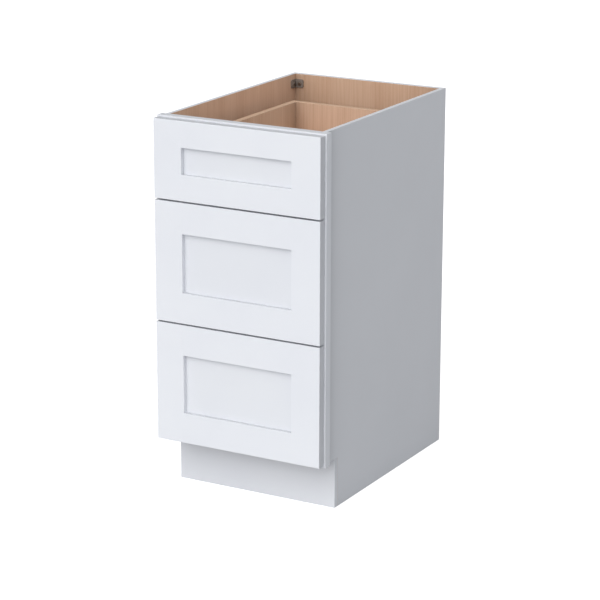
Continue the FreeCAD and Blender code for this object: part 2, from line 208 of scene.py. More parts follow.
# Each lamp's strength, the width of its disc in degrees and the direction that it stands in
lamps = {"key_light": (1.83, 62, (-0.4, -4.38, 2.5)),
         "right_fill_light": (0.60, 130, (1.0, -0.5, 0.3)),
         "overhead_light": (0.38, 60, (0.1, -0.25, 1.0))}

world = bpy.data.worlds.new("studio_sky")
bpy.context.scene.world = world
world.use_nodes = True
tree = world.node_tree
tree.nodes.clear()
seen = add(tree, "ShaderNodeLightPath").outputs["Is Camera Ray"]
soft = add(tree, "ShaderNodeBackground", {"Color": linear("#F5F7FB"), "Strength": sky_strength})
white = add(tree, "ShaderNodeBackground", {"Color": (1, 1, 1, 1), "Strength": 1.0})
sky = add(tree, "ShaderNodeMixShader", {0: seen, 1: soft.outputs[0], 2: white.outputs[0]})
add(tree, "ShaderNodeOutputWorld", {"Surface": sky.outputs[0]})

for name, (strength, disc_degrees, toward) in lamps.items():
    light = bpy.data.lights.new(name, "SUN")
    light.energy = strength
    light.angle = np.radians(disc_degrees)
    lamp = in_scene(name, light)
    lamp.rotation_euler = Vector(toward).to_track_quat("Z", "Y").to_euler()
bpy.context.scene.view_settings.view_transform = "Standard"
print(len(lamps), "lamps and a sky of strength", sky_strength)

# %% [markdown]
# ## Painted shade in corners
# Light has a hard time in a corner, so a picture of a real cabinet gets darker over the last
# centimetres before two boards meet. The wide lamps light such places too evenly, and narrower
# lamps would draw hard shadows all over the fronts. So the shade is painted in: a finish loses a
# share of its colour towards a corner, which is a place on one axis, and the loss fades with the
# distance from it.

# %% Paint shade into a finish towards a corner
def painted_shade_in_corner(tree, colour, axis, corner, reach, loss):
    """Painted shade: the colour loses a share towards a corner on an axis, 1 - loss * exp(-distance /
    reach). The cabinet's halves are mirror images, so on x the distance is measured from |x|."""
    place = add(tree, "ShaderNodeTexCoord").outputs["Object"]
    at = add(tree, "ShaderNodeSeparateXYZ", {"Vector": place}).outputs["xyz".index(axis)]
    if axis == "x":
        at = add(tree, "ShaderNodeMath", {0: at}, operation="ABSOLUTE").outputs[0]
    gap = add(tree, "ShaderNodeMath", {0: at, 1: corner}, operation="SUBTRACT")
    distance = add(tree, "ShaderNodeMath", {0: gap.outputs[0]}, operation="ABSOLUTE")
    reaches = add(tree, "ShaderNodeMath", {0: distance.outputs[0], 1: -reach}, operation="DIVIDE")
    fade = add(tree, "ShaderNodeMath", {0: reaches.outputs[0]}, operation="EXPONENT")
    kept = add(tree, "ShaderNodeMath", {0: fade.outputs[0], 1: -loss, 2: 1.0},
               operation="MULTIPLY_ADD")
    return add(tree, "ShaderNodeVectorMath", {0: colour, "Scale": kept.outputs[0]},
               operation="SCALE").outputs["Vector"]


print("corners ready")

# %% [markdown]
# ## Paint
# The fronts, the face frame, the toe-kick board and the outside of the side panels are sprayed
# with a satin white lacquer, which gives wide, soft highlights. It could be one flat colour, but
# sprayed paint dries with a faint orange peel, and the wood under it still shows as very shallow
# grain. Both go into the bump, and the colour drifts by a hair. Greyer copies of the lacquer carry
# painted shade: a hair greyer on the outside of the side panels, and greyest close behind the face
# frame, where painted shade darkens the corner. Painted shade also darkens the toe-kick board up
# under the fronts. The face frame and the recessed panels get a hair of painted grey, and the
# narrow edges of a drawer front the most, which paints the shade in the gaps and the recesses as
# thin grey lines.

# %% Satin lacquer on wood
def sprayed_lacquer(name, grain_axis, colour="#EDEFF3", drift="#EAECF1", corner=None):
    """Satin lacquer: orange peel over shallow grain 1.5 mm wide and 60 mm long. Real orange peel is
    about 1 mm wide, and it is drawn 3 mm wide here so that it shows."""
    material, tree, shader = finish(name)
    place = add(tree, "ShaderNodeTexCoord").outputs["Object"]
    cloud = add(tree, "ShaderNodeTexNoise", {"Vector": place, "Scale": per(160), "Detail": 2.0})
    paint = ramp(tree, cloud.outputs["Fac"], [(0.3, drift), (0.7, colour)])
    # Painted shade: the paint darkens towards a corner
    if corner:
        paint = painted_shade_in_corner(tree, paint, *corner)
    tree.links.new(paint, shader.inputs["Base Color"])
    peel = add(tree, "ShaderNodeTexNoise", {"Vector": place, "Scale": per(3), "Detail": 1.0})
    grain = add(tree, "ShaderNodeTexNoise",
                {"Vector": stretched(tree, 1.5, 60, grain_axis), "Scale": 1.0, "Detail": 3.0})
    skin = add(tree, "ShaderNodeBump", {"Height": peel.outputs["Fac"], "Distance": 0.00003,
                                        "Strength": 0.5})
    wood = add(tree, "ShaderNodeBump", {"Height": grain.outputs["Fac"], "Distance": 0.00004,
                                        "Strength": 0.4, "Normal": skin.outputs["Normal"]})
    tree.links.new(wood.outputs["Normal"], shader.inputs["Normal"])
    shade = add(tree, "ShaderNodeMapRange", {"Value": cloud.outputs["Fac"], "To Min": 0.36,
                                             "To Max": 0.44})
    tree.links.new(shade.outputs["Result"], shader.inputs["Roughness"])
    return material


# Stiles show upright grain and rails show level grain, and both are the whitest
lacquer_upright = sprayed_lacquer("satin_lacquer_upright_grain", "z")
lacquer_level = sprayed_lacquer("satin_lacquer_level_grain", "x")
# Greyer copies of the lacquer, painted shade on the frame and in the recesses
lacquer_frame_painted_shade = sprayed_lacquer("satin_lacquer_face_frame_painted_shade", "z", "#E7E9ED", "#E4E6EB")
lacquer_panel_painted_shade = sprayed_lacquer("satin_lacquer_recessed_panel_painted_shade", "z", "#E9EBEF", "#E6E8ED")
# The greyest copy, painted shade that draws the grey lines round the fronts
lacquer_edge_painted_shade = sprayed_lacquer("satin_lacquer_edges_painted_shade", "y", "#D0D2D6", "#CCCED3")
# Greyer copies with painted shade that darkens into a corner: under the fronts, and behind the face
# frame
under_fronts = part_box("toe_kick_board")[1].z
lacquer_toe_painted_shade = sprayed_lacquer("satin_lacquer_toe_kick_painted_shade", "x", "#E8EAEE", "#E5E7EC",
                              ("z", under_fronts, 0.045, 0.25))
behind_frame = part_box("frame_right_stile")[1].y
lacquer_side_painted_shade = sprayed_lacquer("satin_lacquer_side_panels_painted_shade", "z", "#E3E5E9", "#E1E3E7",
                               ("y", behind_frame, 0.022, 0.3))
print("lacquer ready")

# %% [markdown]
# ## Maple
# The inside is maple veneer under a thin clear coat: fine straight streaks with slow bands of
# tone, and a satin sheen that follows the streaks. They run upright on the walls and from front to
# back on the bottoms. Rings cut by a plane could draw them, but sliced veneer is so nearly straight
# that stretched noise does, the fine streaks 3 mm apart and the bands 40 mm. Each kind of board
# gets its own shift, so that no streak runs on across a joint, and painted shade darkens each wall
# towards its corner, most of it within 30 mm. The maple of the side walls is painted lighter, as
# painted light for walls that the lamps reach too little.

# %% Clear coated maple
def maple_veneer(name, shift, light, dark, axis="z", corner=None):
    """Maple: streaks 3 mm by 150 mm over bands 40 mm by 900 mm, under a satin clear coat. Real
    streaks are nearer 1 mm wide, and they are drawn coarser here so that they show."""
    material, tree, shader = finish(name)
    streak = add(tree, "ShaderNodeTexNoise", {"Vector": stretched(tree, 3, 150, axis, shift),
                                              "Scale": 1.0, "Detail": 5.0, "Roughness": 0.6})
    band = add(tree, "ShaderNodeTexNoise", {"Vector": stretched(tree, 40, 900, axis, shift),
                                            "Scale": 1.0, "Detail": 2.0})
    tone = add(tree, "ShaderNodeMix", {0: 0.35, 2: streak.outputs["Fac"], 3: band.outputs["Fac"]})
    wood = ramp(tree, tone.outputs[0], [(0.35, dark), (0.62, light)])
    # Painted shade: the wood darkens towards a corner
    if corner:
        wood = painted_shade_in_corner(tree, wood, *corner)
    tree.links.new(wood, shader.inputs["Base Color"])
    pores = add(tree, "ShaderNodeBump", {"Height": streak.outputs["Fac"], "Distance": 0.00005,
                                         "Strength": 0.5})
    tree.links.new(pores.outputs["Normal"], shader.inputs["Normal"])
    gloss = add(tree, "ShaderNodeMapRange", {"Value": streak.outputs["Fac"], "To Min": 0.40,
                                             "To Max": 0.52})
    tree.links.new(gloss.outputs["Result"], shader.inputs["Roughness"])
    return material


case_corner_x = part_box("right_side_panel")[0].x
case_corner_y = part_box("back_panel")[0].y
box_corner_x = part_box("top_box_right_side")[0].x
box_corner_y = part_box("top_box_back")[0].y
# Painted shade darkens each wall towards its corner; the side walls' maple is also painted lighter, as
# painted light
case_maple_painted_shade = maple_veneer("clear_coated_maple_case_painted_shade", (0, 0, 0), "#D2B298", "#C09B7F",
                          corner=("x", case_corner_x, 0.025, 0.25))
side_maple_painted_light_and_shade = maple_veneer("clear_coated_maple_sides_painted_light_and_shade", (21.3, 3.7, 9.1), "#EDCBB1", "#DBB497",
                          corner=("y", case_corner_y, 0.030, 0.18))
box_side_maple_painted_shade = maple_veneer("clear_coated_maple_box_sides_painted_shade", (13.7, 5.1, 2.3), "#DEC4AE",
                              "#CAAB91", corner=("y", box_corner_y, 0.030, 0.28))
box_end_maple_painted_shade = maple_veneer("clear_coated_maple_box_ends_painted_shade", (4.2, 31.9, 7.7), "#D5B69E", "#C29F85",
                             corner=("x", box_corner_x, 0.016, 0.3))
bottom_maple = maple_veneer("clear_coated_maple_bottoms", (1.4, 6.3, 27.1), "#D5B69E", "#C29F85",
                            axis="y")
# The face towards the wall has no clear coat, so it is paler and a little yellow
raw_maple = maple_veneer("unfinished_veneer_back", (8.3, 2.2, 5.5), "#DEC3A0", "#CFAE88")
print("maple ready")

# %% [markdown]
# ## Plywood edges
# Where a board is cut, plywood shows its layers: thin veneers about 1.4 mm thick, with the grain
# turned by a quarter from one to the next, so every other layer is darker end grain. The layer
# number is the distance into the board, divided by the thickness of a veneer, and odd numbers are
# dark. The number of layers is odd, so that both faces of the board are alike.

# %% Layers of plywood
veneer_thickness = 0.0014


def plywood_edge(name, axis, start, thickness):
    """Layers across a board that starts at a place on an axis: dark where the layer number is odd."""
    veneers = 2 * round(thickness / (2 * veneer_thickness)) + 1
    material, tree, shader = finish(name)
    place = add(tree, "ShaderNodeTexCoord").outputs["Object"]
    parts = add(tree, "ShaderNodeSeparateXYZ", {"Vector": place})
    across = add(tree, "ShaderNodeMath", {0: parts.outputs["xyz".index(axis)]},
                 operation="ABSOLUTE")
    depth = add(tree, "ShaderNodeMath", {0: across.outputs[0], 1: start}, operation="SUBTRACT")
    number = add(tree, "ShaderNodeMath", {0: depth.outputs[0], 1: veneers / thickness},
                 operation="MULTIPLY")
    whole = add(tree, "ShaderNodeMath", {0: number.outputs[0]}, operation="FLOOR")
    odd = add(tree, "ShaderNodeMath", {0: whole.outputs[0], 1: 2.0}, operation="FLOORED_MODULO")
    fibre = add(tree, "ShaderNodeTexNoise", {"Vector": place, "Scale": per(0.7), "Detail": 3.0})
    mixed = add(tree, "ShaderNodeMath", {0: fibre.outputs["Fac"], 1: 0.5, 2: odd.outputs[0]},
                operation="MULTIPLY_ADD")
    layers = ramp(tree, mixed.outputs[0], [(0.1, "#E6CAB0"), (0.45, "#DDBEA2"), (0.95, "#C9A587")])
    tree.links.new(layers, shader.inputs["Base Color"])
    shader.inputs["Roughness"].default_value = 0.7
    bump = add(tree, "ShaderNodeBump", {"Height": fibre.outputs["Fac"], "Distance": 0.0001,
                                        "Strength": 0.4})
    tree.links.new(bump.outputs["Normal"], shader.inputs["Normal"])
    return material


print("plywood layers ready, each", veneer_thickness * 1000, "mm")

# %% [markdown]
# ## Metal
# The slides are zinc plated sheet steel and the balls are bright steel. An even mirror would look
# like chrome, but rolling leaves fine lines along the sheet, and stretched noise in the gloss and
# the bump draws them. The screws are zinc plated, except those of the corner brackets under the
# rim, which have a dull brown coat. All screws of the case are one CAD node, so the height parts
# them.

# %% Zinc plated steel
def plated_steel(name, colour, roughness, axis="y"):
    """Zinc plated sheet: fine rolling lines 0.8 mm apart and 120 mm long in gloss and bump."""
    material, tree, shader = finish(name)
    lines = add(tree, "ShaderNodeTexNoise", {"Vector": stretched(tree, 0.8, 120, axis),
                                             "Scale": 1.0, "Detail": 3.0})
    tree.links.new(ramp(tree, lines.outputs["Fac"], [(0.3, colour), (0.8, "#E2E4E6")]),
                   shader.inputs["Base Color"])
    shader.inputs["Metallic"].default_value = 1.0
    gloss = add(tree, "ShaderNodeMapRange", {"Value": lines.outputs["Fac"],
                                             "To Min": roughness - 0.06, "To Max": roughness + 0.1})
    tree.links.new(gloss.outputs["Result"], shader.inputs["Roughness"])
    bump = add(tree, "ShaderNodeBump", {"Height": lines.outputs["Fac"], "Distance": 0.00002,
                                        "Strength": 0.4})
    tree.links.new(bump.outputs["Normal"], shader.inputs["Normal"])
    return material


def case_screws(name, rim_zone):
    """Screw steel, zinc plated below a height and coated brown above it."""
    material, tree, shader = finish(name)
    place = add(tree, "ShaderNodeTexCoord").outputs["Object"]
    parts = add(tree, "ShaderNodeSeparateXYZ", {"Vector": place})
    high = add(tree, "ShaderNodeMath", {0: parts.outputs["Z"], 1: rim_zone}, operation="GREATER_THAN")
    wear = add(tree, "ShaderNodeTexNoise", {"Vector": place, "Scale": per(2), "Detail": 2.0})
    tone = add(tree, "ShaderNodeMath", {0: wear.outputs["Fac"], 1: 0.4, 2: high.outputs[0]},
               operation="MULTIPLY_ADD")
    colour = ramp(tree, tone.outputs[0], [(0.1, "#A3A7AB"), (0.4, "#B9BDC1"), (0.99, "#94877B")])
    tree.links.new(colour, shader.inputs["Base Color"])
    shader.inputs["Metallic"].default_value = 1.0
    shader.inputs["Roughness"].default_value = 0.36
    return material


brown_above = 0.74
# Rolled strip: a grey mirror, drawn out into lines along the slide
slide_steel = plated_steel("zinc_plated_slide_steel", "#B9BDC1", 0.34)
# Polished balls and cages: small, sharp highlights
ball_steel = plated_steel("bright_bearing_steel", "#CFD2D4", 0.2)
# Screw heads: darker grey, with a broken sheen
screw_steel = plated_steel("zinc_plated_screw", "#A9ADB1", 0.3)
mixed_screws = case_screws("zinc_and_brown_coated_screws", brown_above)
print("steel ready")

# %% [markdown]
# ## Plastic
# The corner brackets, the slides' release levers and the bumpers are moulded. A mould is eroded by
# sparks, which leaves grains under a millimetre wide on the piece and takes away its shine. A high
# roughness alone would look like chalk, so part of the dullness comes from noise as fine as the
# grains.

# %% Moulded plastic
def moulded_plastic(name, colour, pale):
    """Moulded plastic with a fine eroded texture, grains 0.6 mm wide."""
    material, tree, shader = finish(name)
    place = add(tree, "ShaderNodeTexCoord").outputs["Object"]
    grit = add(tree, "ShaderNodeTexNoise", {"Vector": place, "Scale": per(0.6), "Detail": 2.0})
    tree.links.new(ramp(tree, grit.outputs["Fac"], [(0.3, colour), (0.75, pale)]),
                   shader.inputs["Base Color"])
    shader.inputs["Roughness"].default_value = 0.55
    bump = add(tree, "ShaderNodeBump", {"Height": grit.outputs["Fac"], "Distance": 0.00004,
                                        "Strength": 0.5})
    tree.links.new(bump.outputs["Normal"], shader.inputs["Normal"])
    return material


# Dull brown with no clear highlight
bracket_plastic = moulded_plastic("moulded_bracket_plastic", "#7A7069", "#867B72")
# Black, with a grey sheen on its rounded edges
lever_plastic = moulded_plastic("moulded_lever_plastic", "#1D1E20", "#2C2D30")
# Soft and milky, close to white
bumper_plastic = moulded_plastic("soft_bumper_plastic", "#D9D7D0", "#E6E4DE")
print("plastic ready")

# %% [markdown]
# ## Hardware takes its finish as it is
# The screws, the ball cages and the brackets at the rear could be drawn finer, but they are small
# and mostly hidden, and their CAD shape is right. They only get the finish of the real piece.

# %% Dress the hardware
def dress(node, material):
    """Gives a CAD node its only material."""
    nodes[node].data.materials.clear()
    nodes[node].data.materials.append(material)


for node in nodes:
    if node.endswith("_screws"):
        dress(node, mixed_screws if node == "cabinet_screws" else screw_steel)
    elif node.endswith("_cages"):
        dress(node, ball_steel)
    elif "slide" in node:
        dress(node, slide_steel)
print("hardware dressed")

# %% [markdown]
# ## Boards with eased edges
# A CAD board is as sharp as a drawing, and its mesh is loose triangles. On the real cabinet a pass
# of sandpaper breaks every edge, and paint rounds it further, so each edge carries a thin line of
# light. A shader could fake that line, but geometry also shows it in the exported mesh. So each
# board is copied, its triangles are merged into flat faces, its faces take their finishes, and a
# Bevel modifier eases the edges by a weight. Edges in a flush joint keep weight zero, because the
# paint runs across them. First comes the copy with its flat faces.

# %% Copy a board with flat faces
same_place = 1e-6
flat_angle = np.radians(0.5)


def flat_faced(node, cuts):
    """Copy of a node's mesh: doubles merged, flat triangles joined, then cut at (axis, place)."""
    shape = bmesh.new()
    shape.from_mesh(nodes[node].data)
    bmesh.ops.remove_doubles(shape, verts=shape.verts, dist=same_place)
    bmesh.ops.dissolve_limit(shape, angle_limit=flat_angle, verts=shape.verts, edges=shape.edges)
    for axis, place in cuts:
        normal = Vector([float(letter == axis) for letter in "xyz"])
        bmesh.ops.bisect_plane(shape, geom=shape.verts[:] + shape.edges[:] + shape.faces[:],
                               plane_co=normal * place, plane_no=normal)
    return shape


sample = flat_faced("back_panel", ())
print("back panel:", len(nodes["back_panel"].data.polygons), "triangles are", len(sample.faces), "faces")
sample.free()

# %% [markdown]
# Now the copy is eased. Only an edge with a real corner, longer than the easing is wide, gets a
# weight. A Bevel modifier on the whole board would also round the joints, which have to stay shut.

# %% Ease a board
ease = 0.0005
sharp_angle = np.radians(30)
shortest_eased_edge = 0.0016


def eased(node, finishes, choose, weight, cuts=()):
    """Board that stands for a node: choose(normal, centre) picks each face's finish and
    weight(place, along) says how much of the easing an edge gets, from 0 to 1."""
    shape = flat_faced(node, cuts)
    weights = shape.edges.layers.float.new("bevel_weight_edge")
    for edge in shape.edges:
        start, end = (vertex.co for vertex in edge.verts)
        if edge.calc_face_angle(0) > sharp_angle and edge.calc_length() > shortest_eased_edge:
            edge[weights] = weight((start + end) / 2, (end - start).normalized())
        edge.smooth = bool(edge.calc_face_angle(0) < sharp_angle or edge[weights] > 0)
    for face in shape.faces:
        face.smooth = True
        face.material_index = choose(face.normal, face.calc_center_median())
    mesh = bpy.data.meshes.new(node + "_board")
    shape.to_mesh(mesh)
    shape.free()
    for material in finishes:
        mesh.materials.append(material)
    board = in_scene(node + "_board", mesh)
    bevel = board.modifiers.new("eased_edges", "BEVEL")
    bevel.limit_method = "WEIGHT"
    bevel.width = ease
    bevel.segments = 2
    bevel.use_clamp_overlap = False
    flat = board.modifiers.new("flat_faces_stay_flat", "WEIGHTED_NORMAL")
    flat.keep_sharp = True
    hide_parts(node)
    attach(board, nodes[node]["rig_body"])
    return board


print("edges eased by", ease * 1000, "mm")

# %% [markdown]
# ## Case boards
# The side panels wear four finishes: maple inside, bare plywood on the cut edges at the back and
# at the floor, lacquer on the rim and over the toe space, and outside the greyer lacquer that
# carries painted shade. The direction that each face looks in tells which one it gets: mostly
# along an axis means that the share of its normal on that axis is over 0.7. The back panel is maple
# inside and unfinished towards the wall. The floor panel is maple on both broad faces.

# %% Panels of the case
def everywhere(place, along):
    """Full easing on every edge."""
    return 1.0


case_low, case_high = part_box("back_panel")
side_low, side_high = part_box("right_side_panel")
side_edge = plywood_edge("plywood_edge_side", "x", side_low.x, side_high.x - side_low.x)
back_edge = plywood_edge("plywood_edge_back", "y", case_low.y, case_high.y - case_low.y)
floor_low, floor_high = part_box("floor_panel")
floor_edge = plywood_edge("plywood_edge_floor", "z", floor_low.z, floor_high.z - floor_low.z)
toe_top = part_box("frame_bottom_rail")[0].z
mostly = 0.7


def side_finish(side):
    """Maple inside, plywood on cut edges, lacquer on the rim and over the toe space, and outside."""
    def choose(normal, centre):
        if normal.x * side > mostly:
            return 3
        rim = normal.z > mostly or (normal.z < -mostly and centre.z > toe_top / 2)
        return 2 if rim else 0 if abs(normal.x) > mostly else 1
    return choose


def back_finish(normal, centre):
    """Maple inside, unfinished veneer towards the wall, lacquer on the rim."""
    if abs(normal.y) > mostly:
        return 0 if normal.y < 0 else 3
    return 2 if normal.z > mostly else 1


def flat_finish(axis):
    """The first finish on the two broad faces, the second on the edges."""
    return lambda normal, centre: 0 if abs(normal["xyz".index(axis)]) > mostly else 1


for side, name in ((-1, "left_side_panel"), (1, "right_side_panel")):
    eased(name, [side_maple_painted_light_and_shade, side_edge, lacquer_upright, lacquer_side_painted_shade], side_finish(side), everywhere)
eased("back_panel", [case_maple_painted_shade, back_edge, lacquer_level, raw_maple], back_finish, everywhere)
eased("floor_panel", [bottom_maple, floor_edge], flat_finish("z"), everywhere)
eased("toe_kick_board", [lacquer_toe_painted_shade], lambda normal, centre: 0, everywhere)
print("case panels made")

# %% [markdown]
# ## Painted frames
# The face frame and the five-piece drawer fronts are assembled first and sprayed afterwards. Their
# rails and stiles meet flush, so the joints stay closed, and only the edges round each opening and
# recess are eased. A stile's long edge runs past its rails, so it is cut there first.

# %% Face frame and drawer fronts
def unless_joint(joint_x, spans):
    """No easing where an edge lies in a flush joint at +-joint_x within one of the z spans."""
    def weight(place, along):
        in_joint = abs(abs(place.x) - joint_x) < ease / 4
        return float(not (in_joint and any(low < place.z < high for low, high in spans)))
    return weight


# Least share of a face's normal on an axis, where the face is to count as looking along it
broadly = 0.6
end_margin = 0.001


def face_or_edge(inner_x):
    """The first finish on what faces the front, the back or across a recess from its side walls at
    +-inner_x, the second on the narrow edges."""
    def choose(normal, centre):
        recess_side = abs(normal.x) > broadly and abs(centre.x) < inner_x + ease
        return 0 if abs(normal.y) > broadly or recess_side else 1
    return choose


def painted_frame(stiles, rails, finishes):
    """Stiles and rails, flush at their joints: finishes for stiles, for rails and for edges."""
    joint_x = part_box(stiles[1])[0].x
    spans = [(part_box(rail)[0].z - ease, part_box(rail)[1].z + ease) for rail in rails]
    stile_low, stile_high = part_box(stiles[0])
    ends = [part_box(rail)[end].z for rail in rails for end in (0, 1)]
    cuts = [("z", end) for end in ends
            if stile_low.z + end_margin < end < stile_high.z - end_margin]
    choose, weight = face_or_edge(joint_x), unless_joint(joint_x, spans)
    for stile in stiles:
        eased(stile, [finishes[0], finishes[2]], choose, weight, cuts)
    for rail in rails:
        eased(rail, [finishes[1], finishes[2]], choose, weight)


painted_frame(("frame_left_stile", "frame_right_stile"),
              [f"frame_{name}_rail" for name in ("top", "upper", "lower", "bottom")],
              (lacquer_frame_painted_shade, lacquer_frame_painted_shade, lacquer_frame_painted_shade))
for drawer in drawer_names:
    painted_frame((f"{drawer}_front_left_stile", f"{drawer}_front_right_stile"),
                  [f"{drawer}_front_{name}_rail" for name in ("top", "bottom")],
                  (lacquer_upright, lacquer_level, lacquer_edge_painted_shade))
    dress(f"{drawer}_front_panel", lacquer_panel_painted_shade)
print("frames painted")

# %% [markdown]
# ## Drawer boxes
# The boxes are dovetailed from the same plywood. Full easing would open the dovetails to grooves,
# and without any they would vanish, but on a real box they show as hairlines. So their edges get a
# third of the easing, and the rim of the box gets all of it.

# %% Dovetailed boxes
joint_share = 0.3


def rim_most(low, high):
    """Full easing along the rim and the foot of a board, a share of it on upright joint edges."""
    def weight(place, along):
        level = abs(along.z) < 0.5 and (place.z > high.z - ease or place.z < low.z + ease)
        return 1.0 if level else joint_share
    return weight


box_walls = {"left_side": ("x", box_side_maple_painted_shade), "right_side": ("x", box_side_maple_painted_shade),
             "front": ("y", box_end_maple_painted_shade), "back": ("y", box_end_maple_painted_shade)}
wall_low, wall_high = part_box("top_box_left_side")
wall_thickness = wall_high.x - wall_low.x
box_edges = {}
for part, (axis, veneer) in box_walls.items():
    start = min(abs(corner["xyz".index(axis)]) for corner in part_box(f"top_box_{part}"))
    box_edges[part] = plywood_edge(f"plywood_edge_box_{part}", axis, start, wall_thickness)

for drawer in drawer_names:
    for part, (axis, veneer) in box_walls.items():
        node = f"{drawer}_box_{part}"
        eased(node, [veneer, box_edges[part]], flat_finish(axis), rim_most(*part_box(node)))
    dress(f"{drawer}_box_bottom", bottom_maple)
print("boxes made, walls", round(wall_thickness * 1000, 2), "mm")

# %% [markdown]
# ## Corner brackets
# The brackets are moulded, and a mould has no sharp edges. A new mesh could be drawn for them, but
# their CAD shape is right up to its edges, so they are eased in the same way as the boards.

# %% Moulded brackets
eased("corner_brackets", [bracket_plastic], lambda normal, centre: 0, everywhere)
print("brackets eased")

# %% [markdown]
# ## Drawer slides
# A ball bearing slide is three members rolled from zinc plated strip, one inside the other: a
# machine bends a flat strip step by step, so every corner is an arc and the strip keeps its
# thickness. The CAD members have square corners. Here the middle line of the strip is drawn as a
# few corners, the corners become arcs, and the line runs along the slide. A Solidify modifier
# gives the strip its thickness and a small Bevel breaks the punched edges.

# %% Arcs for corners
arc_steps = 6


def with_arcs(corners, radii):
    """Line through corners in millimetres, each inner corner turned into an arc. The arc starts
    radius * tan(turn / 2) before the corner and leaves it as far behind. Returned in metres."""
    line = [corners[0]]
    for before, corner, after, radius in zip(corners, corners[1:], corners[2:], radii):
        into = (corner - before) / np.linalg.norm(corner - before)
        out = (after - corner) / np.linalg.norm(after - corner)
        turn = np.arccos(into @ out)
        inward = (out - into * np.cos(turn)) / np.sin(turn)
        angle = np.linspace(0, turn, arc_steps + 1)[:, None]
        start = corner - into * radius * np.tan(turn / 2)
        line.extend(start + radius * (into * np.sin(angle) + inward * (1 - np.cos(angle))))
    line.append(corners[-1])
    return np.array(line) / 1000


cabinet_strip = with_arcs(np.array([(0.6, 0), (0.6, 21.9), (8.9, 21.9), (8.9, 19.8)]), (2.3, 1.9))
middle_strip = with_arcs(np.array([(3.0, 0), (3.0, 16.5), (10.8, 16.5), (10.8, 14.4)]), (2.0, 1.5))
drawer_strip = with_arcs(np.array([(12.1, 0), (12.1, 11.1), (5.4, 11.1)]), (2.0,))
print("strip points", len(cabinet_strip), len(middle_strip), len(drawer_strip))

# %% [markdown]
# The web of each member is punched: round holes for its screws and oblong ones that let a fitter
# shift the slide. A Boolean could cut them, but it leaves thin slivers beside each hole. The holes
# lie on the middle line of the web, so here the web is two flat faces, one above and one below that
# line, and each goes round its half of every hole.

# %% Line round the holes of a web
quarter_steps = 9


def web_line(y0, y1, holes):
    """Points (y, height) along the middle line, up and round each hole (place, radius, half length):
    y = place + radius * cos + half length towards that side, height = radius * sin."""
    angle = np.concatenate([np.linspace(np.pi, np.pi / 2, quarter_steps),
                            np.linspace(np.pi / 2, 0, quarter_steps)])
    way = np.repeat([-1.0, 1.0], quarter_steps)
    arcs = [np.stack([place + radius * np.cos(angle) + way * half, radius * np.sin(angle)], 1)
            for place, radius, half in holes]
    return np.concatenate([[(y0, 0.0)]] + arcs + [[(y1, 0.0)]])


print("a web with one hole has", len(web_line(0.0, 0.1, [(0.05, 0.002, 0.0)])), "points")

# %% [markdown]
# Arrays of points and faces become a mesh in one step. Where two halves meet, their points lie on
# each other, so doubles are merged first, and only then are the faces turned outwards.

# %% Mesh from whole arrays
def outward_mesh(name, points, faces):
    """Mesh of whole arrays: doubles merged, points without a face left out, faces turned outwards."""
    mesh = bpy.data.meshes.new(name)
    mesh.from_pydata(points.tolist(), [], faces)
    shape = bmesh.new()
    shape.from_mesh(mesh)
    bmesh.ops.remove_doubles(shape, verts=shape.verts, dist=same_place)
    loose = [vertex for vertex in shape.verts if not vertex.link_faces]
    bmesh.ops.delete(shape, geom=loose, context="VERTS")
    bmesh.ops.recalc_face_normals(shape, faces=shape.faces)
    shape.to_mesh(mesh)
    shape.free()
    mesh.shade_smooth()
    return mesh


print("mesh helper ready")

# %% [markdown]
# Now a member can be rolled. Half of its section is enough, because the section is the same above
# and below its middle line, and the slides on the left are mirror images of those on the right.

# %% Roll a member
strip_metal = 0.0012
punched_ease = 0.00015
opening_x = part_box("cabinet_slide_members")[1].x


def half_member(low_y, high_y, strip, holes):
    """One half as whole arrays: the section's points at both ends, then the web's line. Returns the
    points (depth from the opening's side, y, height), the bent walls and the web's outline."""
    web = web_line(low_y, high_y, holes)
    count = len(strip)
    points = np.concatenate([np.insert(strip, 1, end, axis=1) for end in (low_y, high_y)]
                            + [np.insert(web, 0, strip[0, 0], axis=1)])
    index = np.arange(1, count - 1)
    walls = np.stack([index, index + count, index + count + 1, index + 1], 1)
    return points, walls, np.concatenate([[1 + count, 1], 2 * count + np.arange(len(web))])


def rolled_member(name, node, strip, places, holes):
    """Strip section run along y at each (side, height). Each half is mirrored by the signs of its
    side and of up or down: x = side * (opening - depth), z = height + up * its height. A single
    mirror also turns the order of a face's corners."""
    low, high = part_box(node)
    half, walls, web_face = half_member(low.y, high.y, strip, holes)
    copies = [(side, height, up) for side, height in places for up in (-1, 1)]
    points = np.concatenate([np.stack([side * (opening_x - half[:, 0]), half[:, 1],
                                       height + up * half[:, 2]], 1) for side, height, up in copies])
    faces = []
    for number, (side, height, up) in enumerate(copies):
        start = number * len(half)
        faces += (walls[:, ::side * up] + start).tolist() + [(web_face[::side * up] + start).tolist()]
    mesh = outward_mesh(name, points, faces)
    mesh.materials.append(slide_steel)
    member = in_scene(name, mesh)
    wall = member.modifiers.new("strip_thickness", "SOLIDIFY")
    wall.thickness = strip_metal
    wall.offset = 0.0
    wall.use_even_offset = True
    edge = member.modifiers.new("punched_edges", "BEVEL")
    edge.width = punched_ease
    edge.segments = 1
    edge.angle_limit = np.radians(45)
    flat = member.modifiers.new("flat_faces_stay_flat", "WEIGHTED_NORMAL")
    flat.keep_sharp = True
    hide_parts(node)
    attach(member, nodes[node]["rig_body"])
    return member


slide_heights = {drawer: sum(corner.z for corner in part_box(f"{drawer}_slide_drawer_members")) / 2
                 for drawer in drawer_names}
all_slides = [(side, height) for side in (-1, 1) for height in slide_heights.values()]
print("slide centres at", [round(height, 4) for height in slide_heights.values()])

# %% [markdown]
# The cabinet member has a countersunk screw through it at each end. The drawer member has three
# pan head screws. The middle member is only punched where its end stops are staked.

